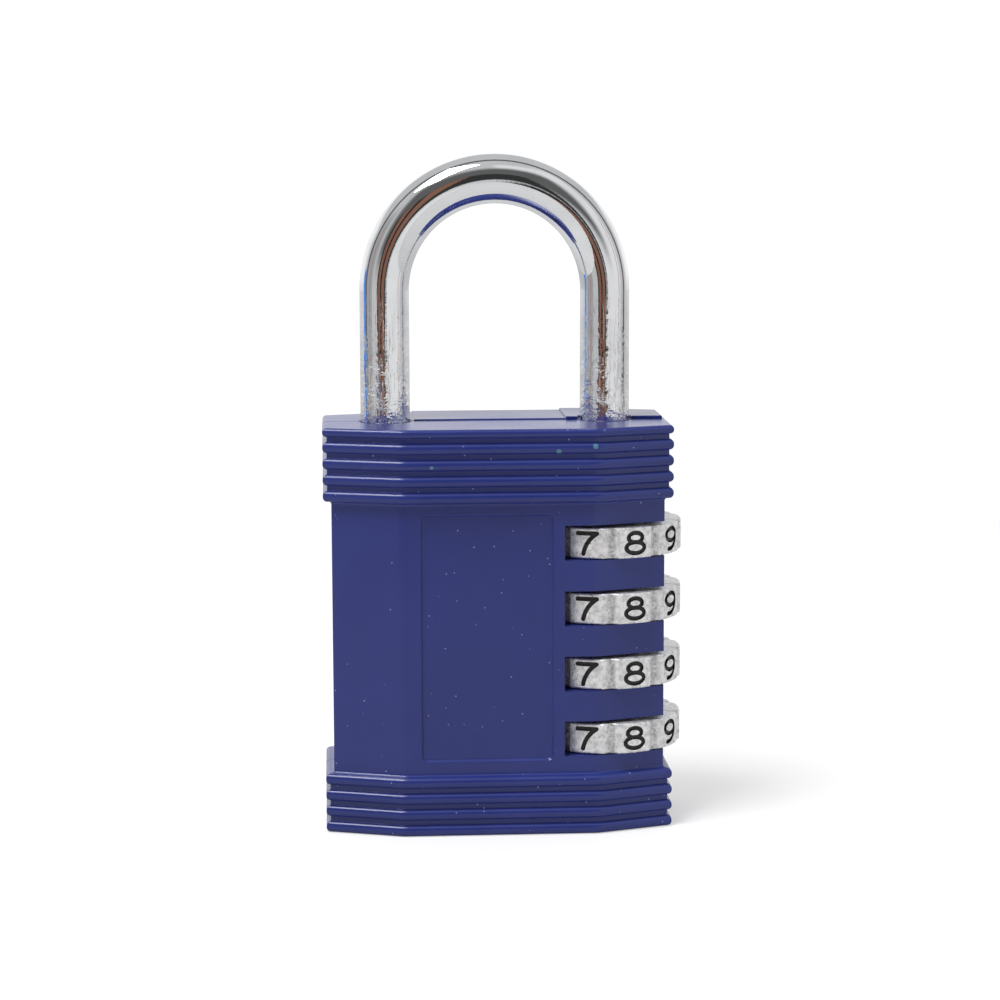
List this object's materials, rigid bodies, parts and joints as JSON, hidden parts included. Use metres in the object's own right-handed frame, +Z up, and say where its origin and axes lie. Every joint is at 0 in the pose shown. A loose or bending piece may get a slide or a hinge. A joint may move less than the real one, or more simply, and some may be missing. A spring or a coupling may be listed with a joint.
{
  "type": "combination padlock",
  "caption": "Blue die-cast padlock body with ribbed bands, a chromed shackle and number dials that turn round its long leg and open it.",
  "frame": {"origin": "middle of the flat bottom of the body, on the parting plane of its two shells", "axes": "+Z up along the legs of the shackle, -Y out of the front, +X towards the dials"},
  "size_m": [0.0438, 0.021, 0.0814],
  "materials": {
    "blue_paint": "semi-gloss navy blue paint",
    "chrome_steel": "polished chrome with light scratches",
    "dial_zinc": "satin nickel with black filled digits",
    "sleeve_zinc": "as cast",
    "spring_steel": "oiled spring steel",
    "bright_steel": "plain turned steel"
  },
  "bodies": {
    "lock_body": {"front_shell": "blue_paint", "rear_shell": "blue_paint", "assembly_pins": "bright_steel", "sleeve_spring": "spring_steel", "spring_seat": "bright_steel", "click_spring_1": "spring_steel", "click_spring_2": "spring_steel", "click_spring_3": "spring_steel", "click_spring_4": "spring_steel"},
    "shackle_bar": {"shackle": "chrome_steel", "retaining_clip": "spring_steel"},
    "spring_ring": {"spring_washer": "bright_steel"},
    "dial_1": {"number_dial_1": "dial_zinc"},
    "code_sleeve_1": {"sleeve_1": "sleeve_zinc"},
    "dial_2": {"number_dial_2": "dial_zinc"},
    "code_sleeve_2": {"sleeve_2": "sleeve_zinc"},
    "dial_3": {"number_dial_3": "dial_zinc"},
    "code_sleeve_3": {"sleeve_3": "sleeve_zinc"},
    "dial_4": {"number_dial_4": "dial_zinc"},
    "code_sleeve_4": {"sleeve_4": "sleeve_zinc"}
  },
  "joints": [
    {"name": "shackle_lift", "type": "slide", "parent": "lock_body", "child": "shackle_bar", "axis": [0, 0, 1], "range_m": [0, 0.006]},
    {"name": "dial_1_turn", "type": "hinge", "parent": "lock_body", "child": "dial_1", "pos_m": [0.01335, 0, 0], "axis": [0, 0, 1], "continuous": true, "deforming": ["click_spring_1"]},
    {"name": "dial_2_turn", "type": "hinge", "parent": "lock_body", "child": "dial_2", "pos_m": [0.01335, 0, 0], "axis": [0, 0, 1], "continuous": true, "deforming": ["click_spring_2"]},
    {"name": "dial_3_turn", "type": "hinge", "parent": "lock_body", "child": "dial_3", "pos_m": [0.01335, 0, 0], "axis": [0, 0, 1], "continuous": true, "deforming": ["click_spring_3"]},
    {"name": "dial_4_turn", "type": "hinge", "parent": "lock_body", "child": "dial_4", "pos_m": [0.01335, 0, 0], "axis": [0, 0, 1], "continuous": true, "deforming": ["click_spring_4"]},
    {"name": "sleeve_1_drop", "type": "slide", "parent": "dial_1", "child": "code_sleeve_1", "axis": [0, 0, 1], "range_m": [-0.0016, 0], "stiffness_N_per_m": 400, "springref_m": 0.004, "deforming": ["sleeve_spring"]},
    {"name": "sleeve_2_drop", "type": "slide", "parent": "dial_2", "child": "code_sleeve_2", "axis": [0, 0, 1], "range_m": [-0.0016, 0], "deforming": ["sleeve_spring"]},
    {"name": "sleeve_3_drop", "type": "slide", "parent": "dial_3", "child": "code_sleeve_3", "axis": [0, 0, 1], "range_m": [-0.0016, 0], "deforming": ["sleeve_spring"]},
    {"name": "sleeve_4_drop", "type": "slide", "parent": "dial_4", "child": "code_sleeve_4", "axis": [0, 0, 1], "range_m": [-0.0016, 0], "deforming": ["sleeve_spring"]},
    {"name": "spring_ring_drop", "type": "slide", "parent": "lock_body", "child": "spring_ring", "axis": [0, 0, 1], "range_m": [-0.0016, 0], "deforming": ["sleeve_spring"]}
  ],
  "couplings": [
    {"joint": "sleeve_2_drop", "follows": "sleeve_1_drop", "ratio": 1},
    {"joint": "sleeve_3_drop", "follows": "sleeve_1_drop", "ratio": 1},
    {"joint": "sleeve_4_drop", "follows": "sleeve_1_drop", "ratio": 1},
    {"joint": "spring_ring_drop", "follows": "sleeve_1_drop", "ratio": 1}
  ]
}
